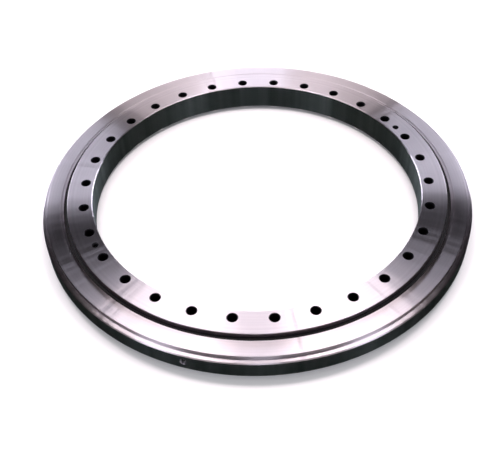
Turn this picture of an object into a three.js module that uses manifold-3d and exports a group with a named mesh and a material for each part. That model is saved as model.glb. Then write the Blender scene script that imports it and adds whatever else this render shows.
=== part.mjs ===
// Slewing ring bearing: a single-row four-point contact ball bearing with a flanged outer ring.
// Millimetres, +Z up. The origin is the centre of the outer ring's lower face.
// The outer ring stands still. The inner ring turns in it on balls, which a cage keeps apart.
import * as THREE from "three";
import { mergeVertices } from "three/addons/utils/BufferGeometryUtils.js";
import Module from "manifold-3d";

// Both rings are equally tall, and the inner one stands higher by the stagger.
const RING_HEIGHT = 53;
const STAGGER = 7;
const OVERALL_HEIGHT = RING_HEIGHT + STAGGER;
const RING_SIDES = 60;

const BORE_RADIUS = 314;
const BORE_CHAMFER = 1.5;
const BOLT_CIRCLE_RADIUS = 330;
const BOLT_COUNT = 30;
const BOLT_HOLE_RADIUS = 9;
const LIFTING_HOLE_RADIUS = 5.4;
const LIFTING_HOLE_DEPTH = 25;
const LIFTING_HOLE_ANGLES = [30, 210];

const BALL_RADIUS = 12.5;
const BALL_COUNT = 48;
const RACEWAY_RADIUS = 365;
const RACEWAY_HEIGHT = OVERALL_HEIGHT / 2;
const RACEWAY_CLEARANCE = 0.6;
const RACEWAY_STEPS = 6;
const RING_GAP = 7.6;
const INNER_LAND_RADIUS = RACEWAY_RADIUS - RING_GAP / 2;
const OUTER_LAND_RADIUS = RACEWAY_RADIUS + RING_GAP / 2;

const FLANGE_RADIUS = 409;
const FLANGE_LOW = 12;
const FLANGE_HIGH = 45;
const FLANGE_CHAMFER = 1;
const REGISTER_RADIUS = 400;
const REGISTER_CHAMFER = 0.6;
const TAPPED_CIRCLE_RADIUS = 388;
const TAPPED_HOLE_RADIUS = 7;
const TAPPED_HOLE_DEPTH = 22;

const CAGE_THICKNESS = 4.4;
const CAGE_HEIGHT = 32;
const CAGE_SPLIT = 2;
const POCKET_CLEARANCE = 0.4;
const POCKET_SIDES = 10;

const SEAL_DEPTH = 1.5;
const SEAL_LIP_HEIGHT = 4.2;
const SEAL_ROOT_HEIGHT = 2;
const SEAL_GROOVE_HEIGHT = 3.4;
const SEAL_GROOVE_DEPTH = 3.2;

const PLUG_RADIUS = 14.5;
const PLUG_ANGLE = 246;
const PLUG_PIN_RADIUS = 4;
const PLUG_PIN_TOP = 42;

const NIPPLE_COUNT = 4;
const NIPPLE_FIRST_ANGLE = -106;
const NIPPLE_RECESS_RADIUS = 6.5;
const NIPPLE_RECESS_DEPTH = 12;
const NIPPLE_THREAD_RADIUS = 4;
const NIPPLE_THREAD_LENGTH = 9;
const GREASE_CHANNEL_RADIUS = 2;

// Clearance between neighbouring pieces that touch on the real bearing.
const FIT_GAP = 0.3;

const MATERIALS = {
  turnedSteel: { color: 0xb8b2bc, roughness: 0.3, metalness: 1 },
  plugSteel: { color: 0x9a979e, roughness: 0.4, metalness: 1 },
  ballSteel: { color: 0xd8d8dc, roughness: 0.08, metalness: 1 },
  cageNylon: { color: 0xd9cfb4, roughness: 0.6, metalness: 0 },
  sealRubber: { color: 0x141416, roughness: 0.7, metalness: 0 },
  zincPlate: { color: 0xb9bcae, roughness: 0.35, metalness: 1 },
};

const wasm = await Module();
wasm.setup();

// ---- Geometry helpers ----

const radians = THREE.MathUtils.degToRad;

// The radius that puts the flats of a many-sided hollow, not its corners, at the given radius.
function hollow(radius, sides = RING_SIDES) {
  return radius / Math.cos(Math.PI / sides);
}

// A ring turned about +Z from a closed outline of [radius, height] points.
function turned(outline, sides = RING_SIDES) {
  const points = [...outline, outline[0]].map(([r, z]) => new THREE.Vector2(r, z));
  return new THREE.LatheGeometry(points, sides).rotateX(Math.PI / 2);
}

// A cylinder parallel to +Z between two heights, off the axis at an angle in degrees.
function upright(radius, low, high, offset, angle, sides) {
  return new THREE.CylinderGeometry(radius, radius, high - low, sides)
    .rotateX(Math.PI / 2)
    .translate(offset, 0, (low + high) / 2)
    .rotateZ(radians(angle));
}

// A cylinder along a radius of the bearing, between two distances from its axis.
function radial(radius, near, far, height, angle, sides) {
  return new THREE.CylinderGeometry(radius, radius, far - near, sides)
    .rotateZ(-Math.PI / 2)
    .translate((near + far) / 2, 0, height)
    .rotateZ(radians(angle));
}

function solidOf(geometry) {
  const bare = geometry.clone();
  bare.deleteAttribute("normal");
  bare.deleteAttribute("uv");
  const merged = mergeVertices(bare, 1e-4);
  const triVerts = new Uint32Array(merged.index.array);
  const vertProperties = merged.attributes.position.array;
  return new wasm.Manifold(new wasm.Mesh({ numProp: 3, vertProperties, triVerts }));
}

function geometryOf(solid) {
  const { numProp, numVert, vertProperties, triVerts } = solid.getMesh();
  const position = new Float32Array(numVert * 3);
  for (let i = 0; i < numVert; i++) {
    position.set(vertProperties.subarray(i * numProp, i * numProp + 3), i * 3);
  }
  return new THREE.BufferGeometry()
    .setAttribute("position", new THREE.BufferAttribute(position, 3))
    .setIndex(new THREE.BufferAttribute(triVerts, 1));
}

function cut(solid, cutters) {
  return cutters.reduce((left, cutter) => left.subtract(solidOf(cutter)), solid);
}

// Angles in degrees of a number of equal steps round the circle.
function aroundCircle(count, first = 0) {
  return Array.from({ length: count }, (_, i) => first + (i * 360) / count);
}

function meshOf(name, geometry, material) {
  if (!geometry.getAttribute("normal")) geometry.computeVertexNormals();
  const mesh = new THREE.Mesh(geometry, new THREE.MeshStandardMaterial(material));
  mesh.name = name;
  return mesh;
}

// ---- The ball groove, which both rings share ----

// Groove points from the lower land to the upper one: side is -1 on the inner ring, +1 on the outer.
// The chords between them keep clear of the balls, so the points lie a little outside the groove.
function racewayGroove(side) {
  const grooveRadius = BALL_RADIUS + RACEWAY_CLEARANCE;
  const halfSpan = Math.acos(RING_GAP / 2 / grooveRadius);
  const pointRadius = grooveRadius / Math.cos(halfSpan / RACEWAY_STEPS);
  const points = [];
  for (let i = 0; i <= RACEWAY_STEPS; i++) {
    const angle = halfSpan * ((2 * i) / RACEWAY_STEPS - 1);
    const radius = RACEWAY_RADIUS + side * pointRadius * Math.cos(angle);
    points.push([radius, RACEWAY_HEIGHT + pointRadius * Math.sin(angle)]);
  }
  return points;
}

// ---- Seals: the middle of the upper seal's height, mirrored for the lower one ----

const SEAL_MIDDLE = RING_HEIGHT - SEAL_DEPTH - SEAL_LIP_HEIGHT / 2;
const SEAL_ROOT_RADIUS = OUTER_LAND_RADIUS + SEAL_GROOVE_DEPTH;

// The seal's groove in the outer ring, downwards from its mouth, round a middle height.
function sealGroove(middle) {
  const mouth = hollow(OUTER_LAND_RADIUS);
  const root = hollow(SEAL_ROOT_RADIUS);
  const high = middle + SEAL_GROOVE_HEIGHT / 2;
  const low = middle - SEAL_GROOVE_HEIGHT / 2;
  return [[mouth, high], [root, high], [root, low], [mouth, low]];
}

function makeSeal(name, middle) {
  const lip = hollow(INNER_LAND_RADIUS + FIT_GAP);
  const root = SEAL_ROOT_RADIUS - FIT_GAP;
  const outline = [
    [lip, middle - SEAL_LIP_HEIGHT / 2],
    [root, middle - SEAL_ROOT_HEIGHT / 2],
    [root, middle + SEAL_ROOT_HEIGHT / 2],
    [lip, middle + SEAL_LIP_HEIGHT / 2],
  ];
  return meshOf(name, turned(outline), MATERIALS.sealRubber);
}

// ---- Outer ring: flange, registers above and below it, tapped holes in its lower face ----

function outerRingOutline() {
  const land = hollow(OUTER_LAND_RADIUS);
  const flangeEdge = FLANGE_RADIUS - FLANGE_CHAMFER;
  const outside = [
    [land, 0],
    [REGISTER_RADIUS - FLANGE_CHAMFER, 0],
    [REGISTER_RADIUS, FLANGE_CHAMFER],
    [REGISTER_RADIUS, FLANGE_LOW],
    [flangeEdge, FLANGE_LOW],
    [FLANGE_RADIUS, FLANGE_LOW + FLANGE_CHAMFER],
    [FLANGE_RADIUS, FLANGE_HIGH - FLANGE_CHAMFER],
    [flangeEdge, FLANGE_HIGH],
    [REGISTER_RADIUS, FLANGE_HIGH],
    [REGISTER_RADIUS, RING_HEIGHT - REGISTER_CHAMFER],
    [REGISTER_RADIUS - REGISTER_CHAMFER, RING_HEIGHT],
    [land, RING_HEIGHT],
  ];
  const groove = racewayGroove(1).map(([r, z]) => [hollow(r), z]).reverse();
  const inside = [
    ...sealGroove(SEAL_MIDDLE),
    ...groove,
    ...sealGroove(OVERALL_HEIGHT - SEAL_MIDDLE),
  ];
  return [...outside, ...inside];
}

// A grease port: recess for the nipple, its thread, and the channel to the raceway.
function greasePort(angle) {
  const seat = FLANGE_RADIUS - NIPPLE_RECESS_DEPTH;
  const threadEnd = seat - NIPPLE_THREAD_LENGTH - 1;
  const threadRadius = NIPPLE_THREAD_RADIUS + FIT_GAP;
  const height = RACEWAY_HEIGHT;
  return [
    radial(NIPPLE_RECESS_RADIUS, seat, FLANGE_RADIUS + 5, height, angle, 16),
    radial(threadRadius, threadEnd, seat + 1, height, angle, 12),
    radial(GREASE_CHANNEL_RADIUS, RACEWAY_RADIUS, threadEnd + 1, height, angle, 6),
  ];
}

const nippleAngles = aroundCircle(NIPPLE_COUNT, NIPPLE_FIRST_ANGLE);

function makeOuterRing() {
  const halfStep = 180 / BOLT_COUNT;
  const tappedHoles = aroundCircle(BOLT_COUNT, halfStep).map((angle) =>
    upright(TAPPED_HOLE_RADIUS, -5, TAPPED_HOLE_DEPTH, TAPPED_CIRCLE_RADIUS, angle, 8),
  );
  const ports = nippleAngles.flatMap(greasePort);
  const ring = cut(solidOf(turned(outerRingOutline())), [...tappedHoles, ...ports]);
  return meshOf("outer_ring", geometryOf(ring), MATERIALS.turnedSteel);
}

// ---- Inner ring: bolt holes, two lifting holes, and the hole that the balls went in by ----

function innerRingBlank() {
  const bore = hollow(BORE_RADIUS);
  const outline = [
    [bore + BORE_CHAMFER, STAGGER],
    [INNER_LAND_RADIUS, STAGGER],
    ...racewayGroove(-1),
    [INNER_LAND_RADIUS, OVERALL_HEIGHT],
    [bore + BORE_CHAMFER, OVERALL_HEIGHT],
    [bore, OVERALL_HEIGHT - BORE_CHAMFER],
    [bore, STAGGER + BORE_CHAMFER],
  ];
  return solidOf(turned(outline));
}

function plugCylinder(radius) {
  return radial(radius, BORE_RADIUS - 5, RACEWAY_RADIUS, RACEWAY_HEIGHT, PLUG_ANGLE, 20);
}

function pinCylinder(radius, low, high) {
  return upright(radius, low, high, BOLT_CIRCLE_RADIUS, PLUG_ANGLE, 12);
}

function makeInnerRing() {
  const boltHoles = aroundCircle(BOLT_COUNT).map((angle) =>
    upright(BOLT_HOLE_RADIUS, 0, OVERALL_HEIGHT + 5, BOLT_CIRCLE_RADIUS, angle, 12),
  );
  const liftingFloor = OVERALL_HEIGHT - LIFTING_HOLE_DEPTH;
  const liftingHoles = LIFTING_HOLE_ANGLES.map((angle) =>
    upright(LIFTING_HOLE_RADIUS, liftingFloor, OVERALL_HEIGHT + 5, BOLT_CIRCLE_RADIUS, angle, 10),
  );
  const loadingHole = plugCylinder(PLUG_RADIUS + FIT_GAP);
  const pinHole = pinCylinder(PLUG_PIN_RADIUS + FIT_GAP, 0, RACEWAY_HEIGHT);
  const cutters = [...boltHoles, ...liftingHoles, loadingHole, pinHole];
  return meshOf("inner_ring", geometryOf(cut(innerRingBlank(), cutters)), MATERIALS.turnedSteel);
}

// The plug fills the loading hole and carries its own piece of the raceway.
function makeLoadingPlug() {
  const plug = innerRingBlank().intersect(solidOf(plugCylinder(PLUG_RADIUS)));
  const pinHole = pinCylinder(PLUG_PIN_RADIUS + FIT_GAP, 0, PLUG_PIN_TOP + FIT_GAP);
  return meshOf("loading_plug", geometryOf(cut(plug, [pinHole])), MATERIALS.plugSteel);
}

// The pin is driven up from the ring's lower face and holds the plug.
function makePlugPin() {
  const pin = pinCylinder(PLUG_PIN_RADIUS, STAGGER + FIT_GAP, PLUG_PIN_TOP);
  return meshOf("plug_pin", pin, MATERIALS.ballSteel);
}

// ---- Balls and the strip cage that spaces them ----

const ballAngles = aroundCircle(BALL_COUNT);

function makeCage() {
  const inside = hollow(RACEWAY_RADIUS - CAGE_THICKNESS / 2, BALL_COUNT);
  const outside = RACEWAY_RADIUS + CAGE_THICKNESS / 2;
  const low = RACEWAY_HEIGHT - CAGE_HEIGHT / 2;
  const high = RACEWAY_HEIGHT + CAGE_HEIGHT / 2;
  const strip = turned([[inside, low], [outside, low], [outside, high], [inside, high]], BALL_COUNT);
  const pocketRadius = hollow(BALL_RADIUS + POCKET_CLEARANCE, POCKET_SIDES);
  const near = RACEWAY_RADIUS - BALL_RADIUS;
  const far = RACEWAY_RADIUS + BALL_RADIUS;
  const pockets = ballAngles.map((angle) =>
    radial(pocketRadius, near, far, RACEWAY_HEIGHT, angle, POCKET_SIDES),
  );
  // The strip's two ends stand a little apart, midway between two balls.
  const split = new THREE.BoxGeometry(2 * BALL_RADIUS, CAGE_SPLIT, 2 * CAGE_HEIGHT)
    .translate(RACEWAY_RADIUS, 0, RACEWAY_HEIGHT)
    .rotateZ(radians(180 / BALL_COUNT));
  return meshOf("cage", geometryOf(cut(solidOf(strip), [...pockets, split])), MATERIALS.cageNylon);
}

function makeBall(angle, index) {
  const name = "ball_" + String(index + 1).padStart(2, "0");
  const ball = meshOf(name, new THREE.IcosahedronGeometry(BALL_RADIUS, 1), MATERIALS.ballSteel);
  const x = RACEWAY_RADIUS * Math.cos(radians(angle));
  const y = RACEWAY_RADIUS * Math.sin(radians(angle));
  ball.position.set(x, y, RACEWAY_HEIGHT);
  return ball;
}

// ---- Grease nipples, sunk in the flange wall ----

function makeNipple(angle, index) {
  const hexRadius = 5.2;
  const neckRadius = 2.4;
  const headRadius = 3.2;
  const tipRadius = 1.6;
  const hexHeight = 4.5;
  const neckHeight = 6.5;
  const shoulderHeight = 8.5;
  const headHeight = 10.5;
  const outline = [
    [0, FIT_GAP - NIPPLE_THREAD_LENGTH],
    [NIPPLE_THREAD_RADIUS, FIT_GAP - NIPPLE_THREAD_LENGTH],
    [NIPPLE_THREAD_RADIUS, FIT_GAP],
    [hexRadius, FIT_GAP],
    [hexRadius, hexHeight],
    [neckRadius, neckHeight],
    [headRadius, shoulderHeight],
    [tipRadius, headHeight],
    [0, headHeight],
  ].map(([r, x]) => new THREE.Vector2(r, x));
  const geometry = new THREE.LatheGeometry(outline, 12).rotateZ(-Math.PI / 2);
  const nipple = meshOf("grease_nipple_" + (index + 1), geometry, MATERIALS.zincPlate);
  const seat = FLANGE_RADIUS - NIPPLE_RECESS_DEPTH;
  nipple.position.set(seat * Math.cos(radians(angle)), seat * Math.sin(radians(angle)), RACEWAY_HEIGHT);
  nipple.rotation.z = radians(angle);
  return nipple;
}

// ---- Assembly: what stands still, what turns, and what rolls between them ----

const fixedPieces = new THREE.Group();
fixedPieces.add(
  makeOuterRing(),
  makeSeal("upper_seal", SEAL_MIDDLE),
  makeSeal("lower_seal", OVERALL_HEIGHT - SEAL_MIDDLE),
  ...nippleAngles.map(makeNipple),
);

const turningPieces = new THREE.Group();
turningPieces.add(makeInnerRing(), makeLoadingPlug(), makePlugPin());

const rollingPieces = new THREE.Group();
rollingPieces.add(makeCage(), ...ballAngles.map(makeBall));

const bearing = new THREE.Group();
bearing.add(fixedPieces, turningPieces, rollingPieces);

export default bearing;
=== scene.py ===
"""A slewing ring bearing on a pale studio floor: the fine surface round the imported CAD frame.

Lengths are in millimetres and angles in degrees until a shape becomes a mesh, which is in metres.
"""

import math

import bmesh
import bpy
from mathutils import Matrix, Vector


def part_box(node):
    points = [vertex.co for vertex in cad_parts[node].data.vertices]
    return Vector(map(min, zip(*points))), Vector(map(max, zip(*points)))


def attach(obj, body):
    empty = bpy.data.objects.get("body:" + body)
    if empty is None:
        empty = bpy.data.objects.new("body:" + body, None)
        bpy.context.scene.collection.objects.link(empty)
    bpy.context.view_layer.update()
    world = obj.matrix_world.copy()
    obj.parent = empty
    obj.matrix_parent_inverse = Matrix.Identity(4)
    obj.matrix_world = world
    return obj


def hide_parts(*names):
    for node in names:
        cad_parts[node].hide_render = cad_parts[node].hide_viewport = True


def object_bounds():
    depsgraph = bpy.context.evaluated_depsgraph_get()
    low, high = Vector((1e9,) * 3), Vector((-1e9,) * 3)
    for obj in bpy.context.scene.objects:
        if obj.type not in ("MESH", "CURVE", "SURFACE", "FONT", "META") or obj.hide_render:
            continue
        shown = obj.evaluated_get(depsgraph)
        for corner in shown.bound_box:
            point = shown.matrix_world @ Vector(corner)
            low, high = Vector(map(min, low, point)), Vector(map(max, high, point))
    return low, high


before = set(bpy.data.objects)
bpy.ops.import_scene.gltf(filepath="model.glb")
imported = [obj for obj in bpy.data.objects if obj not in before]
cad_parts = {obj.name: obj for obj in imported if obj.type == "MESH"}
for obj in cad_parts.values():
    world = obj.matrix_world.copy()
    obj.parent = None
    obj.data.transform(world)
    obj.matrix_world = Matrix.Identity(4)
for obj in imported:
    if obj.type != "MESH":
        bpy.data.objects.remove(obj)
cad_low, cad_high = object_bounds()

MM = 0.001
FULL_TURN = 360


def cad_box(node):
    """A CAD node's lowest and highest corners, in millimetres."""
    low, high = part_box(node)
    return low / MM, high / MM


# ---- Driving dimensions: what the frame gives, then what the outlines need besides ----

OUTER_LOW, OUTER_HIGH = cad_box("outer_ring")
INNER_LOW, INNER_HIGH = cad_box("inner_ring")
FLANGE_RADIUS = OUTER_HIGH.x
OUTER_TOP = OUTER_HIGH.z
INNER_BOTTOM, INNER_TOP = INNER_LOW.z, INNER_HIGH.z
INNER_LAND = INNER_HIGH.x
MID_HEIGHT = (OUTER_LOW.z + INNER_TOP) / 2

BALL_LOW, BALL_HIGH = cad_box("ball_01")
BALL_COUNT = sum(name.startswith("ball_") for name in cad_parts)
BALL_RADIUS = (BALL_HIGH.z - BALL_LOW.z) / 2
RACEWAY_RADIUS = (BALL_LOW.x + BALL_HIGH.x) / 2
OUTER_LAND = 2 * RACEWAY_RADIUS - INNER_LAND

BORE_RADIUS = 314
BORE_CHAMFER = 1.5
BOLT_CIRCLE = 330
BOLT_COUNT = 30
BOLT_HOLE_RADIUS = 9
BOLT_HOLE_REACH = 11
HALF_STEP = FULL_TURN / BOLT_COUNT / 2
LIFTING_ANGLES = (30, 210)
LIFTING_DEPTH = 25

REGISTER_RADIUS = 400
REGISTER_CHAMFER = 0.6
FLANGE_BOTTOM, FLANGE_TOP = 12, 45
EDGE_CHAMFER = 1
FLANGE_EDGE_CHAMFER = 1.7
TAPPED_CIRCLE = 388
TAPPED_DEPTH = 22
TAPPED_HOLE_REACH = 10
LAND_RADIUS = 374
LAND_DEPTH = 0.4

SEAL_DEPTH = 1.5
SEAL_HEIGHT = 4.2
SEAL_MIDDLE = OUTER_TOP - SEAL_DEPTH - SEAL_HEIGHT / 2
SEAL_GROOVE_HEIGHT = 3.4
SEAL_GROOVE_DEPTH = 3.2

PLUG_RADIUS = 14.5
PLUG_GAP = 0.12
PLUG_ANGLE = 246
PIN_RADIUS = 4

NIPPLE_ANGLES = [-106 + 90 * i for i in range(4)]
NIPPLE_RECESS_RADIUS = 6.5
NIPPLE_RECESS_DEPTH = 12
NIPPLE_SEAT = FLANGE_RADIUS - NIPPLE_RECESS_DEPTH

RING_SEGMENTS = 360
HOLE_SEGMENTS = 40

STUDIO_TURN = 2.62
CAMERA_ELEVATION = 45.28
CAMERA_ROLL = -2.16
CAMERA_DISTANCE = 1396.2
CAMERA_LENS = 55.2
CAMERA_AIM = (-14.85, -114.84, INNER_TOP)
SOFTBOX_DISTANCE = 3

GROOVE_DEPTH = 0.00001


# ---- Shapes: plain (vertices, faces) pairs in millimetres ----


def turned(outline, segments, closed=True):
    """The surface that an outline of (radius, height) points sweeps round +Z.

    An open outline starts and ends on the axis.
    """
    vertices, rows = [], []
    for radius, height in outline:
        if radius == 0:
            rows.append([len(vertices)] * segments)
            vertices.append(Vector((0, 0, height)))
            continue
        rows.append([len(vertices) + i for i in range(segments)])
        for i in range(segments):
            angle = math.tau * i / segments
            vertices.append(Vector((radius * math.cos(angle), radius * math.sin(angle), height)))
    faces = []
    for k in range(len(rows) if closed else len(rows) - 1):
        low, high = rows[k], rows[(k + 1) % len(rows)]
        for i in range(segments):
            j = (i + 1) % segments
            corners = dict.fromkeys((low[i], low[j], high[j], high[i]))
            faces.append(tuple(corners))
    return vertices, faces


def moved(shape, matrix):
    vertices, faces = shape
    return [matrix @ v for v in vertices], faces


def joined(shapes):
    vertices, faces = [], []
    for more_vertices, more_faces in shapes:
        start = len(vertices)
        vertices += more_vertices
        faces += [tuple(start + i for i in face) for face in more_faces]
    return vertices, faces


def upright_at(radius, angle):
    """Puts a shape made on the axis at a radius and angle, still upright."""
    return Matrix.Rotation(math.radians(angle), 4, "Z") @ Matrix.Translation((radius, 0, 0))


def radial_at(radius, angle, height):
    """Lays a shape made along +Z along a radius, with its origin at that radius and height."""
    turn = Matrix.Rotation(math.radians(angle), 4, "Z")
    return turn @ Matrix.Translation((radius, 0, height)) @ Matrix.Rotation(math.pi / 2, 4, "Y")


def arc(centre, radius, start, end, steps):
    """Points of a circular arc in an outline, from one angle to another."""
    points = []
    for i in range(steps + 1):
        angle = math.radians(start + (end - start) * i / steps)
        points.append((centre[0] + radius * math.cos(angle), centre[1] + radius * math.sin(angle)))
    return points


def mirrored(outline):
    """An outline mirrored about the bearing's middle height, in the same turning sense."""
    return [(radius, 2 * MID_HEIGHT - height) for radius, height in reversed(outline)]


def thread_cutter(core_radius, crest_radius, pitch, mouth, floor):
    """A helical cutter for an upright tapped hole with its mouth at the given height.

    It is a little longer than the hole.
    """
    columns, per_pitch = 20, 2
    turns = math.ceil(abs(mouth - floor) / pitch) + 1
    direction = math.copysign(1, floor - mouth)
    start = mouth - direction * pitch
    rows = turns * per_pitch + per_pitch
    vertices = []
    for k in range(rows + 1):
        radius = crest_radius if k % per_pitch else core_radius
        for j in range(columns):
            angle = math.tau * j / columns
            height = start + direction * pitch * (k / per_pitch + j / columns)
            vertices.append(Vector((radius * math.cos(angle), radius * math.sin(angle), height)))

    def at(k, j):
        return k * columns + j

    faces = []
    for k in range(rows):
        for j in range(columns - 1):
            faces.append((at(k, j), at(k + 1, j), at(k + 1, j + 1), at(k, j + 1)))
        if k + 1 + per_pitch <= rows:
            seam = at(k, columns - 1), at(k + 1, columns - 1)
            faces.append((*seam, at(k + 1 + per_pitch, 0), at(k + per_pitch, 0)))
    first_loop = [at(0, j) for j in range(columns)]
    first_loop += [at(k, 0) for k in range(per_pitch, 0, -1)]
    last_loop = [at(rows, j) for j in range(columns)]
    last_loop += [at(rows - k, columns - 1) for k in range(1, per_pitch + 1)]
    end = start + direction * pitch * (rows / per_pitch + 1)
    for loop, height in ((first_loop, start), (last_loop, end)):
        centre = len(vertices)
        vertices.append(Vector((0, 0, height)))
        for i, corner in enumerate(loop):
            faces.append((centre, corner, loop[(i + 1) % len(loop)]))
    return vertices, faces


def make_object(name, shape):
    vertices, faces = shape
    mesh = bpy.data.meshes.new(name)
    mesh.from_pydata([v * MM for v in vertices], [], faces)
    cleaner = bmesh.new()
    cleaner.from_mesh(mesh)
    bmesh.ops.recalc_face_normals(cleaner, faces=cleaner.faces)
    cleaner.to_mesh(mesh)
    cleaner.free()
    made = bpy.data.objects.new(name, mesh)
    bpy.context.scene.collection.objects.link(made)
    return made


def apply_boolean(piece, shape, operation="DIFFERENCE"):
    """Cuts a shape from the piece, or keeps only what lies inside it."""
    tool = make_object("boolean_tool", shape)
    modifier = piece.modifiers.new("boolean", "BOOLEAN")
    modifier.operation = operation
    modifier.solver = "EXACT"
    modifier.object = tool
    evaluated = piece.evaluated_get(bpy.context.evaluated_depsgraph_get())
    result = bpy.data.meshes.new_from_object(evaluated)
    piece.modifiers.clear()
    piece.data = result
    bpy.data.objects.remove(tool)


def smooth_by_angle(piece, angle=28):
    piece.data.shade_smooth()
    piece.data.set_sharp_from_angle(angle=math.radians(angle))


def finish_piece(piece, body, slot, *nodes):
    smooth_by_angle(piece)
    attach(piece, body)
    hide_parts(*nodes)
    return piece


# ---- Outlines shared by both rings ----


def gothic_groove(side):
    """Raceway points from the lower land to the upper one.

    Two arcs meet in a point at the groove's bottom, so that each ball touches each ring at 45 degrees
    above and below. Side is -1 on the inner ring and 1 on the outer.
    """
    conformity = 1.04
    running_gap = 0.1
    groove_radius = BALL_RADIUS * conformity
    shift = (groove_radius - BALL_RADIUS - running_gap) * math.sqrt(0.5)
    land = abs(OUTER_LAND - RACEWAY_RADIUS)
    apex = math.degrees(math.asin(shift / groove_radius))
    mouth = math.degrees(math.acos((land + shift) / groove_radius))
    upper = arc((-shift, -shift), groove_radius, apex, mouth, 14)
    lower = [(radius, -height) for radius, height in reversed(upper[1:])]
    return [(RACEWAY_RADIUS + side * radius, MID_HEIGHT + height) for radius, height in lower + upper]


def chamfered_hole(radius, low, high, chamfer):
    """A cutter outline for a through hole with a chamfer at both faces."""
    over = 1
    return [
        (0, low - over),
        (radius + chamfer + over, low - over),
        (radius, low + chamfer),
        (radius, high - chamfer),
        (radius + chamfer + over, high + over),
        (0, high + over),
    ]


# ---- Outer ring ----


def seal_groove(middle):
    high = middle + SEAL_GROOVE_HEIGHT / 2
    low = middle - SEAL_GROOVE_HEIGHT / 2
    root = OUTER_LAND + SEAL_GROOVE_DEPTH
    return [(OUTER_LAND, high), (root, high), (root, low), (OUTER_LAND, low)]


def outer_ring_outline():
    fillet = 0.5
    foot = [
        (OUTER_LAND + EDGE_CHAMFER, 0),
        (REGISTER_RADIUS - EDGE_CHAMFER, 0),
        (REGISTER_RADIUS, EDGE_CHAMFER),
        *arc((REGISTER_RADIUS + fillet, FLANGE_BOTTOM - fillet), fillet, 180, 90, 5),
    ]
    flange = [
        (FLANGE_RADIUS - EDGE_CHAMFER, FLANGE_BOTTOM),
        (FLANGE_RADIUS, FLANGE_BOTTOM + EDGE_CHAMFER),
        (FLANGE_RADIUS, FLANGE_TOP - FLANGE_EDGE_CHAMFER),
        (FLANGE_RADIUS - FLANGE_EDGE_CHAMFER, FLANGE_TOP),
        *arc((REGISTER_RADIUS + fillet, FLANGE_TOP + fillet), fillet, 270, 180, 5),
    ]
    top = [
        (REGISTER_RADIUS, OUTER_TOP - REGISTER_CHAMFER),
        (REGISTER_RADIUS - REGISTER_CHAMFER, OUTER_TOP),
        (LAND_RADIUS + LAND_DEPTH, OUTER_TOP),
        (LAND_RADIUS, OUTER_TOP - LAND_DEPTH),
        (OUTER_LAND + EDGE_CHAMFER / 2, OUTER_TOP - LAND_DEPTH),
        (OUTER_LAND, OUTER_TOP - LAND_DEPTH - EDGE_CHAMFER / 2),
    ]
    inside = [
        *seal_groove(SEAL_MIDDLE),
        *reversed(gothic_groove(1)),
        *seal_groove(2 * MID_HEIGHT - SEAL_MIDDLE),
        (OUTER_LAND, EDGE_CHAMFER),
    ]
    return foot + flange + top + inside


def tapped_hole(angle):
    """A blind M16 hole in the lower face: countersink, thread and drill point."""
    core, crest, pitch = 6.9, 8, 2
    over, sink_depth = 1, 1.3
    thread_end = TAPPED_DEPTH - 3
    point = TAPPED_DEPTH + 4
    sink = [(0, -over), (crest + 1.5, -over), (crest - 0.8, sink_depth), (0, sink_depth)]
    mouth = turned(sink, HOLE_SEGMENTS, closed=False)
    thread = thread_cutter(core, crest, pitch, 0, thread_end)
    drill_outline = [(0, 0), (core, 0), (core, TAPPED_DEPTH), (0, point)]
    drill = turned(drill_outline, HOLE_SEGMENTS, closed=False)
    return [moved(shape, upright_at(TAPPED_CIRCLE, angle)) for shape in (mouth, thread, drill)]


def grease_port(angle):
    """The nipple's recess in the flange wall, with its tapped hole and the channel to the raceway."""
    over = 2
    chamfer = 0.8
    channel_radius = 2
    thread_radius = 4.05
    seat = -NIPPLE_RECESS_DEPTH
    thread_end = seat - 10
    channel_end = seat - 24
    outline = [
        (0, channel_end),
        (channel_radius, channel_end),
        (channel_radius, thread_end - 1),
        (thread_radius, thread_end),
        (thread_radius, seat),
        (NIPPLE_RECESS_RADIUS - chamfer, seat),
        (NIPPLE_RECESS_RADIUS, seat + chamfer),
        (NIPPLE_RECESS_RADIUS, -chamfer),
        (NIPPLE_RECESS_RADIUS + over + chamfer, over),
        (0, over),
    ]
    shape = turned(outline, HOLE_SEGMENTS, closed=False)
    return moved(shape, radial_at(FLANGE_RADIUS, angle, MID_HEIGHT))


def make_outer_ring():
    ring = make_object("outer_ring_body", turned(outer_ring_outline(), RING_SEGMENTS))
    holes = [tapped_hole(HALF_STEP + FULL_TURN * i / BOLT_COUNT) for i in range(BOLT_COUNT)]
    for layer in zip(*holes):
        apply_boolean(ring, joined(layer))
    apply_boolean(ring, joined([grease_port(angle) for angle in NIPPLE_ANGLES]))
    return finish_piece(ring, "fixed_ring", "turned_steel", "outer_ring")


# ---- Inner ring, with its loading plug and pin ----


def inner_ring_outline():
    land_chamfer = 0.8
    return [
        (BORE_RADIUS + BORE_CHAMFER, INNER_BOTTOM),
        (INNER_LAND - land_chamfer, INNER_BOTTOM),
        (INNER_LAND, INNER_BOTTOM + land_chamfer),
        *gothic_groove(-1),
        (INNER_LAND, INNER_TOP - land_chamfer),
        (INNER_LAND - land_chamfer, INNER_TOP),
        (BORE_RADIUS + BORE_CHAMFER, INNER_TOP),
        (BORE_RADIUS, INNER_TOP - BORE_CHAMFER),
        (BORE_RADIUS, INNER_BOTTOM + BORE_CHAMFER),
    ]


def bolt_holes():
    chamfer = 0.8
    outline = chamfered_hole(BOLT_HOLE_RADIUS, INNER_BOTTOM, INNER_TOP, chamfer)
    shape = turned(outline, HOLE_SEGMENTS, closed=False)
    angles = [FULL_TURN * i / BOLT_COUNT for i in range(BOLT_COUNT)]
    return [moved(shape, upright_at(BOLT_CIRCLE, angle)) for angle in angles]


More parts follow.
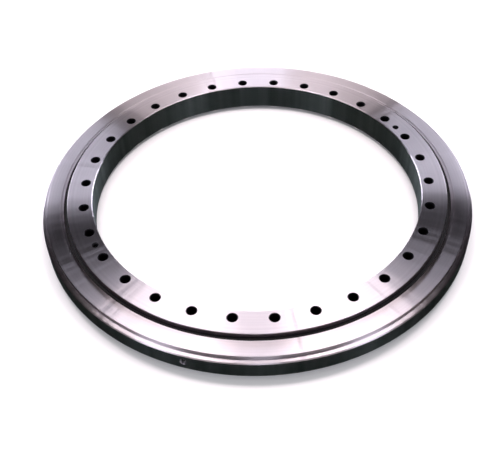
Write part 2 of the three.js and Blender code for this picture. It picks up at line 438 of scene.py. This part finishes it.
def lifting_hole(angle):
    """A blind M12 hole in the upper face."""
    core, crest, pitch = 5.1, 6, 1.75
    low, high = INNER_TOP - 1, INNER_TOP + 1
    sink = [(0, low), (crest - 0.6, low), (crest + 1.4, high), (0, high)]
    mouth = turned(sink, HOLE_SEGMENTS, closed=False)
    floor = INNER_TOP - LIFTING_DEPTH
    thread_end = floor + 3
    point = floor - 3
    thread = thread_cutter(core, crest, pitch, INNER_TOP, thread_end)
    drill_outline = [(0, point), (core, floor), (core, INNER_TOP), (0, INNER_TOP)]
    drill = turned(drill_outline, HOLE_SEGMENTS, closed=False)
    return [moved(shape, upright_at(BOLT_CIRCLE, angle)) for shape in (mouth, thread, drill)]


def plug_cylinder(radius):
    over = 2
    reach = RACEWAY_RADIUS - BORE_RADIUS
    outline = [(0, -over), (radius, -over), (radius, reach), (0, reach)]
    shape = turned(outline, 2 * HOLE_SEGMENTS, closed=False)
    return moved(shape, radial_at(BORE_RADIUS - 1, PLUG_ANGLE, MID_HEIGHT))


def pin_outline(radius, low, high, rounding):
    return [
        (0, low),
        (radius - rounding, low),
        (radius, low + rounding),
        (radius, high - rounding),
        (radius - rounding, high),
        (0, high),
    ]


def pin_hole(low):
    end_gap, rounding = 0.2, 0.1
    _, pin_high = cad_box("plug_pin")
    outline = pin_outline(PIN_RADIUS + PLUG_GAP, low, pin_high.z + end_gap, rounding)
    return moved(turned(outline, HOLE_SEGMENTS, closed=False), upright_at(BOLT_CIRCLE, PLUG_ANGLE))


def make_inner_ring():
    ring = make_object("inner_ring_body", turned(inner_ring_outline(), RING_SEGMENTS))
    apply_boolean(ring, joined(bolt_holes()))
    for layer in zip(*[lifting_hole(angle) for angle in LIFTING_ANGLES]):
        apply_boolean(ring, joined(layer))
    apply_boolean(ring, plug_cylinder(PLUG_RADIUS + PLUG_GAP))
    apply_boolean(ring, pin_hole(INNER_BOTTOM - 1))
    return finish_piece(ring, "turning_ring", "turned_steel", "inner_ring")


def make_loading_plug():
    plug = make_object("filler_plug", turned(inner_ring_outline(), RING_SEGMENTS))
    apply_boolean(plug, plug_cylinder(PLUG_RADIUS), "INTERSECT")
    apply_boolean(plug, pin_hole(INNER_BOTTOM - 1))
    return finish_piece(plug, "turning_ring", "plug_steel", "loading_plug")


def make_plug_pin():
    rounding = 0.6
    low, high = cad_box("plug_pin")
    outline = pin_outline(PIN_RADIUS, low.z, high.z, rounding)
    shape = moved(turned(outline, HOLE_SEGMENTS, closed=False), upright_at(BOLT_CIRCLE, PLUG_ANGLE))
    return finish_piece(make_object("filler_plug_pin", shape), "turning_ring", "pin_steel", "plug_pin")


# ---- Seals: a rubber foot in the outer ring's groove and a lip bent against the inner ring ----


def seal_outline():
    root_gap, foot_gap, lip_gap = 0.2, 0.1, 0.1
    foot_bevel = 0.4
    root = OUTER_LAND + SEAL_GROOVE_DEPTH - root_gap
    lip = INNER_LAND + lip_gap
    high = SEAL_MIDDLE + SEAL_HEIGHT / 2
    low = SEAL_MIDDLE - SEAL_HEIGHT / 2
    foot_half = SEAL_GROOVE_HEIGHT / 2 - foot_gap
    neck = OUTER_LAND - root_gap
    return [
        (lip + 0.9, low + 0.6),
        (neck - 2, low + 0.2),
        (neck, low + 0.2),
        (neck, SEAL_MIDDLE - foot_half),
        (root - foot_bevel, SEAL_MIDDLE - foot_half),
        (root, SEAL_MIDDLE),
        (root - foot_bevel, SEAL_MIDDLE + foot_half),
        (neck, SEAL_MIDDLE + foot_half),
        *arc((neck - 0.7, high - 0.9), 0.7, 0, 90, 4),
        (neck - 1.6, high - 0.4),
        *arc((lip + 2.9, high + 0.1), 1.2, 290, 215, 5),
        (lip + 0.9, high),
        (lip, high - 0.2),
        (lip, high - 0.7),
    ]


def make_seals():
    upper = seal_outline()
    for name, outline, node in (
        ("upper_lip_seal", upper, "upper_seal"),
        ("lower_lip_seal", mirrored(upper), "lower_seal"),
    ):
        seal = make_object(name, turned(outline, RING_SEGMENTS))
        finish_piece(seal, "fixed_ring", "seal_rubber", node)
        give_material(seal, seal_rubber())


# ---- Cage and balls ----


def make_cage():
    low, high = cad_box("cage")
    half_thickness = 2.1
    rounding, steps = 0.8, 3
    near = RACEWAY_RADIUS - half_thickness + rounding
    far = RACEWAY_RADIUS + half_thickness - rounding
    outline = [
        *arc((near, low.z + rounding), rounding, 180, 270, steps),
        *arc((far, low.z + rounding), rounding, 270, 360, steps),
        *arc((far, high.z - rounding), rounding, 0, 90, steps),
        *arc((near, high.z - rounding), rounding, 90, 180, steps),
    ]
    cage = make_object("cage_strip", turned(outline, RING_SEGMENTS))
    reach = 2 * half_thickness
    pocket_gap, pocket_rounding = 0.4, 0.1
    pocket_outline = pin_outline(BALL_RADIUS + pocket_gap, -reach, reach, pocket_rounding)
    pocket = turned(pocket_outline, HOLE_SEGMENTS, closed=False)
    pockets = [
        moved(pocket, radial_at(RACEWAY_RADIUS, FULL_TURN * i / BALL_COUNT, MID_HEIGHT))
        for i in range(BALL_COUNT)
    ]
    apply_boolean(cage, joined(pockets))
    # A square bar, stretched along the radius, parts the strip's two ends midway between two balls.
    corner, bar_reach, stretch = 1.4, 50, 6
    bar = [(0, -bar_reach), (corner, -bar_reach), (corner, bar_reach), (0, bar_reach)]
    split = turned(bar, 4, closed=False)
    stretched = Matrix.Diagonal((stretch, 1, 1, 1)) @ Matrix.Rotation(math.pi / 4, 4, "Z")
    midway = FULL_TURN / BALL_COUNT / 2
    place = upright_at(RACEWAY_RADIUS, midway) @ Matrix.Translation((0, 0, MID_HEIGHT))
    apply_boolean(cage, moved(split, place @ stretched))
    finish_piece(cage, "ball_set", "cage_nylon", "cage")
    give_material(cage, cage_nylon())


def make_balls():
    points = arc((0, 0), BALL_RADIUS, -90, 90, 20)
    outline = [(0, -BALL_RADIUS), *points[1:-1], (0, BALL_RADIUS)]
    shape = turned(outline, HOLE_SEGMENTS, closed=False)
    material = ball_steel()
    for node in sorted(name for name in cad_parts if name.startswith("ball_")):
        low, high = cad_box(node)
        ball = make_object("bearing_" + node, moved(shape, Matrix.Translation((low + high) / 2)))
        finish_piece(ball, "ball_set", "ball_steel", node)
        give_material(ball, material)


# ---- Grease nipples ----


def nipple_shape():
    """Thread, hexagon, waist and round head with its filling hole, as rows of one surface along +Z.

    A row is a size, a height and whether it is a hexagon. The size is a radius in millimetres, or on a
    hexagon a share of the distance to its flats.
    """
    columns = 36
    hex_flat = 4.5
    hex_step = 60
    rows = [
        (0, -8.7, False),
        (3.4, -8.7, False),
        (4, -8, False),
        (4, 0, False),
        (1, 0.3, True),
        (1, 4.1, True),
        (0.94, 4.6, True),
        (3.3, 4.9, False),
        (2.5, 6.2, False),
        (2.4, 7.2, False),
        (3.1, 7.9, False),
        (3.2, 8.6, False),
        (2.2, 10.1, False),
        (1.3, 10.4, False),
        (0.8, 10.3, False),
        (0.7, 9.4, False),
        (0, 9.3, False),
    ]
    vertices, faces, rings = [], [], []
    for size, height, is_hexagon in rows:
        ring = []
        for i in range(columns):
            degrees = FULL_TURN * i / columns
            radius = size
            if is_hexagon:
                from_flat = degrees % hex_step - hex_step / 2
                radius = size * hex_flat / math.cos(math.radians(from_flat))
            if size == 0 and ring:
                ring.append(ring[0])
                continue
            ring.append(len(vertices))
            angle = math.radians(degrees)
            vertices.append(Vector((radius * math.cos(angle), radius * math.sin(angle), height)))
        rings.append(ring)
    for low, high in zip(rings, rings[1:]):
        for i in range(columns):
            j = (i + 1) % columns
            faces.append(tuple(dict.fromkeys((low[i], low[j], high[j], high[i]))))
    return vertices, faces


def make_nipples():
    material = zinc_plate()
    for i, angle in enumerate(NIPPLE_ANGLES, 1):
        shape = moved(nipple_shape(), radial_at(NIPPLE_SEAT, angle, MID_HEIGHT))
        nipple = make_object(f"sunk_nipple_{i}", shape)
        finish_piece(nipple, "fixed_ring", "zinc_plate", f"grease_nipple_{i}")
        give_material(nipple, material)


# ---- Materials ----


def give_material(piece, *materials):
    piece.data.materials.clear()
    for material in materials:
        piece.data.materials.append(material)


class Nodes:
    """A material's node tree, with its Principled shader ready."""

    def __init__(self, name):
        self.material = bpy.data.materials.new(name)
        self.material.use_nodes = True
        self.tree = self.material.node_tree
        self.shader = self.tree.nodes["Principled BSDF"]

    def add(self, kind, values=None, **settings):
        node = self.tree.nodes.new(kind)
        for key, value in settings.items():
            setattr(node, key, value)
        for key, value in (values or {}).items():
            node.inputs[key].default_value = value
        return node

    def link(self, source, target):
        self.tree.links.new(source, target)

    def math(self, operation, *inputs):
        node = self.add("ShaderNodeMath", operation=operation)
        for socket, value in zip(node.inputs, inputs):
            if isinstance(value, (int, float)):
                socket.default_value = value
            else:
                self.link(value, socket)
        return node.outputs[0]

    def spread(self, value, low, high):
        """A 0 to 1 value spread from low to high."""
        node = self.add("ShaderNodeMapRange", {"To Min": low, "To Max": high})
        self.link(value, node.inputs["Value"])
        return node.outputs["Result"]

    def noise(self, scale, detail=3, position=None, along=None):
        """Noise in 3-D at a position in metres, or in 1-D along a value."""
        node = self.add("ShaderNodeTexNoise", {"Scale": scale, "Detail": detail})
        if along is not None:
            node.noise_dimensions = "1D"
            self.link(along, node.inputs["W"])
        elif position is not None:
            self.link(position, node.inputs["Vector"])
        return node.outputs["Fac"]

    def ramp(self, value, dark, light, low=0.3, high=0.7):
        """Two colours mixed by a value."""
        node = self.add("ShaderNodeValToRGB")
        first, last = node.color_ramp.elements
        first.position, first.color = low, (*dark, 1)
        last.position, last.color = high, (*light, 1)
        self.link(value, node.inputs["Fac"])
        return node.outputs["Color"]

    def bump(self, height, distance, strength=1):
        node = self.add("ShaderNodeBump", {"Distance": distance, "Strength": strength})
        self.link(height, node.inputs["Height"])
        self.link(node.outputs["Normal"], self.shader.inputs["Normal"])

    def set(self, **values):
        for key, value in values.items():
            self.shader.inputs[key.replace("_", " ")].default_value = value


def turned_steel(name, dark, light, roughness, anisotropy, metallic=1, waviness=0, streaks=0):
    """Lathe-turned steel, with fine grooves round the axis that spread reflections across them.

    Shallow chatter waves cross the grooves and break a reflection into radial streaks. Waviness is in
    metres, and streaks is the share of the colour's variation that follows the waves.
    """
    nodes = Nodes(name)
    position = nodes.add("ShaderNodeTexCoord").outputs["Object"]
    split = nodes.add("ShaderNodeSeparateXYZ")
    nodes.link(position, split.inputs[0])
    x, y, z = split.outputs
    squares = nodes.math("MULTIPLY", x, x), nodes.math("MULTIPLY", y, y)
    radius = nodes.math("SQRT", nodes.math("ADD", *squares))
    across = nodes.math("ADD", radius, z)
    broad = nodes.noise(220, 4, along=across)
    fine = nodes.noise(2600, 2, along=across)
    cloud = nodes.noise(9, 5, position=position)
    depths = nodes.math("MULTIPLY", broad, 0.55), nodes.math("MULTIPLY", fine, 0.45)
    grooves = nodes.math("ADD", *depths)
    outward = nodes.add("ShaderNodeCombineXYZ")
    nodes.link(nodes.math("DIVIDE", x, radius), outward.inputs["X"])
    nodes.link(nodes.math("DIVIDE", y, radius), outward.inputs["Y"])
    waves = nodes.noise(14, 4, position=outward.outputs[0])
    parts = nodes.math("MULTIPLY", grooves, 0.6), nodes.math("MULTIPLY", cloud, 0.4)
    wear = nodes.math("ADD", *parts)
    shares = nodes.math("MULTIPLY", wear, 1 - streaks), nodes.math("MULTIPLY", waves, streaks)
    color = nodes.ramp(nodes.math("ADD", *shares), dark, light)
    nodes.link(color, nodes.shader.inputs["Base Color"])
    gloss = nodes.spread(grooves, roughness * 0.9, roughness * 1.1)
    nodes.link(gloss, nodes.shader.inputs["Roughness"])
    heights = nodes.math("MULTIPLY", waves, waviness), nodes.math("MULTIPLY", grooves, GROOVE_DEPTH)
    nodes.bump(nodes.math("ADD", *heights), 1)
    tangent = nodes.add("ShaderNodeTangent", direction_type="RADIAL", axis="Z")
    nodes.link(tangent.outputs[0], nodes.shader.inputs["Tangent"])
    nodes.set(Metallic=metallic, Anisotropic=anisotropy, Anisotropic_Rotation=0.25)
    return nodes.material


def turned_face():
    dark, light = (0.655, 0.623, 0.648), (0.81, 0.773, 0.80)
    return turned_steel("turned_face", dark, light, 0.36, 1, waviness=0.0006)


def shaded_turned_wall():
    """The bore and the outside, in a dark greenish colour and a little less metal than the faces:
    painted shade and painted dark reflection on these walls.
    """
    dark, light = (0.235, 0.305, 0.277), (0.50, 0.59, 0.555)
    wall_shade_settings = {"metallic": 0.975, "waviness": 0.0003, "streaks": 0.7}
    return turned_steel("shaded_turned_wall", dark, light, 0.3, 0.8, **wall_shade_settings)


def shaded_gap_wall():
    """The lands on both sides of the gap between the rings, in a dark brownish colour that paints the
    shade and dim reflection between the rings.
    """
    dark, light = (0.23, 0.185, 0.205), (0.40, 0.335, 0.365)
    return turned_steel("shaded_gap_wall", dark, light, 0.3, 0.8, metallic=0.975, streaks=0.4)


def ground_raceway():
    return turned_steel("ground_raceway", (0.62, 0.61, 0.62), (0.72, 0.71, 0.72), 0.16, 0.4)


# Nearly black steel in the holes: painted shade in the recesses.
def shaded_drilled_hole():
    return turned_steel("shaded_drilled_hole", (0.03, 0.03, 0.032), (0.07, 0.07, 0.075), 0.5, 0)


def plain_metal(name, dark, light, roughness, scale):
    """Metal with fine wear in its colour and gloss."""
    nodes = Nodes(name)
    position = nodes.add("ShaderNodeTexCoord").outputs["Object"]
    wear = nodes.noise(scale, 6, position=position)
    nodes.link(nodes.ramp(wear, dark, light), nodes.shader.inputs["Base Color"])
    nodes.link(nodes.spread(wear, roughness * 0.7, roughness * 1.3), nodes.shader.inputs["Roughness"])
    nodes.bump(wear, 0.00001, 0.4)
    nodes.set(Metallic=1)
    return nodes.material


def plug_steel():
    return plain_metal("plug_steel", (0.22, 0.23, 0.24), (0.36, 0.37, 0.38), 0.32, 900)


def pin_steel():
    return plain_metal("pin_steel", (0.45, 0.45, 0.46), (0.58, 0.58, 0.60), 0.25, 1200)


def ball_steel():
    return plain_metal("ball_steel", (0.78, 0.78, 0.80), (0.86, 0.86, 0.88), 0.07, 400)


# A dark zinc colour: painted shade on the nipples, which sit down in their recesses.
def zinc_plate():
    return plain_metal("zinc_plate", (0.24, 0.25, 0.22), (0.36, 0.36, 0.33), 0.45, 1500)


def seal_rubber():
    nodes = Nodes("seal_rubber")
    position = nodes.add("ShaderNodeTexCoord").outputs["Object"]
    grain = nodes.noise(2500, 3, position=position)
    grease = nodes.noise(40, 4, position=position)
    color = nodes.ramp(grain, (0.003, 0.003, 0.003), (0.008, 0.008, 0.009))
    nodes.link(color, nodes.shader.inputs["Base Color"])
    nodes.link(nodes.spread(grease, 0.4, 0.75), nodes.shader.inputs["Roughness"])
    nodes.bump(grain, 0.00005, 0.5)
    nodes.set(Specular_IOR_Level=0.2)
    return nodes.material


def cage_nylon():
    nodes = Nodes("cage_nylon")
    position = nodes.add("ShaderNodeTexCoord").outputs["Object"]
    grain = nodes.noise(900, 4, position=position)
    stain = nodes.noise(25, 5, position=position)
    color = nodes.ramp(stain, (0.55, 0.48, 0.33), (0.72, 0.66, 0.50))
    nodes.link(color, nodes.shader.inputs["Base Color"])
    nodes.link(nodes.spread(grain, 0.4, 0.6), nodes.shader.inputs["Roughness"])
    nodes.bump(grain, 0.00004, 0.5)
    return nodes.material


FACE, WALL, GAP, RACEWAY, HOLE = range(5)


def in_hole(x, y, circle_radius, reach):
    """Whether a point is within reach of a place for a hole on a circle, at half steps of the bolts."""
    radius = math.hypot(x, y)
    if abs(radius - circle_radius) > reach:
        return False
    angle = math.degrees(math.atan2(y, x))
    nearest = math.radians(HALF_STEP * round(angle / HALF_STEP))
    centre = Vector((circle_radius * math.cos(nearest), circle_radius * math.sin(nearest)))
    return (Vector((x, y)) - centre).length < reach


def finish_ring_faces(ring, circle_radius, hole_reach):
    """Gives each face of a ring the material of its place, with painted shade in the darker steel of
    the walls, the gap's lands and the holes.
    """
    give_material(ring, turned_face(), shaded_turned_wall(), shaded_gap_wall(), ground_raceway(), shaded_drilled_hole())
    groove_reach = BALL_RADIUS * 1.1
    gap_reach = 10
    level_normal, sloping_normal = 0.99, 0.3
    for face in ring.data.polygons:
        x, y, z = face.center / MM
        radius = math.hypot(x, y)
        from_balls = math.hypot(radius - RACEWAY_RADIUS, z - MID_HEIGHT)
        level = abs(face.normal.z) > level_normal
        on_register = z > FLANGE_TOP and REGISTER_RADIUS - 1 < radius < REGISTER_RADIUS + 2
        if from_balls < groove_reach:
            face.material_index = RACEWAY
        elif not level and in_hole(x, y, circle_radius, hole_reach):
            face.material_index = HOLE
        elif abs(face.normal.z) > sloping_normal or on_register:
            face.material_index = FACE
        elif abs(radius - RACEWAY_RADIUS) < gap_reach:
            face.material_index = GAP
        else:
            face.material_index = WALL


# ---- Floor, light and camera ----


def make_floor():
    """A floor so wide that its edge is a level horizon in every view."""
    half = 60
    below = 0.2 * MM
    mesh = bpy.data.meshes.new("floor")
    level = cad_low.z - below
    corners = [(-half, -half, level), (half, -half, level), (half, half, level), (-half, half, level)]
    mesh.from_pydata(corners, [], [(0, 1, 2, 3)])
    floor = bpy.data.objects.new("floor", mesh)
    bpy.context.scene.collection.objects.link(floor)
    nodes = Nodes("floor_paint")
    nodes.set(Base_Color=(0.93, 0.93, 0.93, 1), Roughness=0.9)
    give_material(floor, nodes.material)
    floor.visible_glossy = False


def set_world():
    """An even white fill for the floor and the dull surfaces. It doesn't show in glossy reflections."""
    world = bpy.data.worlds.new("studio")
    bpy.context.scene.world = world
    world.use_nodes = True
    world.cycles_visibility.glossy = False
    background = world.node_tree.nodes["Background"]
    background.inputs["Color"].default_value = (1, 1, 1, 1)
    background.inputs["Strength"].default_value = 0.6


def studio_direction(azimuth, elevation):
    """A direction in the studio, which is turned with the camera.

    Azimuth 0 is beyond the bearing, and 90 is to its right.
    """
    a, e = math.radians(azimuth - STUDIO_TURN), math.radians(elevation)
    return Vector((math.sin(a) * math.cos(e), math.cos(a) * math.cos(e), math.sin(e)))


def add_softbox(name, azimuth, elevation, size, radiance, color):
    """A rectangular area light that faces the bearing, with its size in metres."""
    light = bpy.data.lights.new(name, "AREA")
    light.shape = "RECTANGLE"
    light.size, light.size_y = size
    light.energy = radiance * math.pi * size[0] * size[1]
    light.color = color
    out = studio_direction(azimuth, elevation)
    softbox = bpy.data.objects.new(name, light)
    softbox.location = out * SOFTBOX_DISTANCE
    softbox.rotation_euler = out.to_track_quat("Z", "Y").to_euler()
    softbox.visible_camera = False
    bpy.context.scene.collection.objects.link(softbox)


def make_lights():
    """Mirrored pairs of softboxes, with three more on the middle line.

    On turned steel each one becomes two bright streaks, on opposite sides of the rings. The low pair
    lights the sides, and the high pair and the middle ones light the front and the back. The front row
    is there for views from behind.
    """
    cool, rosy = (0.88, 0.86, 1), (1, 0.88, 0.92)
    for side, name in ((-1, "left"), (1, "right")):
        add_softbox(f"low_{name}", 40 * side, 10, (1.5, 0.6), 16, cool)
        add_softbox(f"high_{name}", 60 * side, 70, (0.5, 1.2), 15, rosy)
        add_softbox(f"front_{name}", 135 * side, 20, (0.8, 0.8), 6, cool)
    add_softbox("middle", 0, 20, (0.6, 0.3), 20, cool)
    add_softbox("overhead", 0, 85, (1.5, 0.3), 15, rosy)
    add_softbox("front_middle", 180, 20, (0.6, 0.6), 5, cool)


def make_camera():
    """The camera looks down from in front of the bearing, with a small roll."""
    aim = Matrix.Rotation(math.radians(STUDIO_TURN), 3, "Z") @ Vector(CAMERA_AIM) * MM
    out = studio_direction(180, CAMERA_ELEVATION)
    data = bpy.data.cameras.new("camera")
    data.sensor_width = 36
    data.lens = CAMERA_LENS
    data.clip_start, data.clip_end = 0.05, 200
    camera = bpy.data.objects.new("camera", data)
    bpy.context.scene.collection.objects.link(camera)
    level = out.to_track_quat("Z", "Y").to_matrix().to_4x4()
    roll = Matrix.Rotation(math.radians(CAMERA_ROLL), 4, "Z")
    camera.matrix_world = Matrix.Translation(aim + out * CAMERA_DISTANCE * MM) @ level @ roll
    bpy.context.scene.camera = camera


make_camera()
make_floor()
set_world()
make_lights()
bpy.context.scene.view_settings.view_transform = "Standard"

outer_ring = make_outer_ring()
finish_ring_faces(outer_ring, TAPPED_CIRCLE, TAPPED_HOLE_REACH)
inner_ring = make_inner_ring()
finish_ring_faces(inner_ring, BOLT_CIRCLE, BOLT_HOLE_REACH)
give_material(make_loading_plug(), plug_steel())
give_material(make_plug_pin(), pin_steel())
make_seals()
make_cage()
make_balls()
make_nipples()
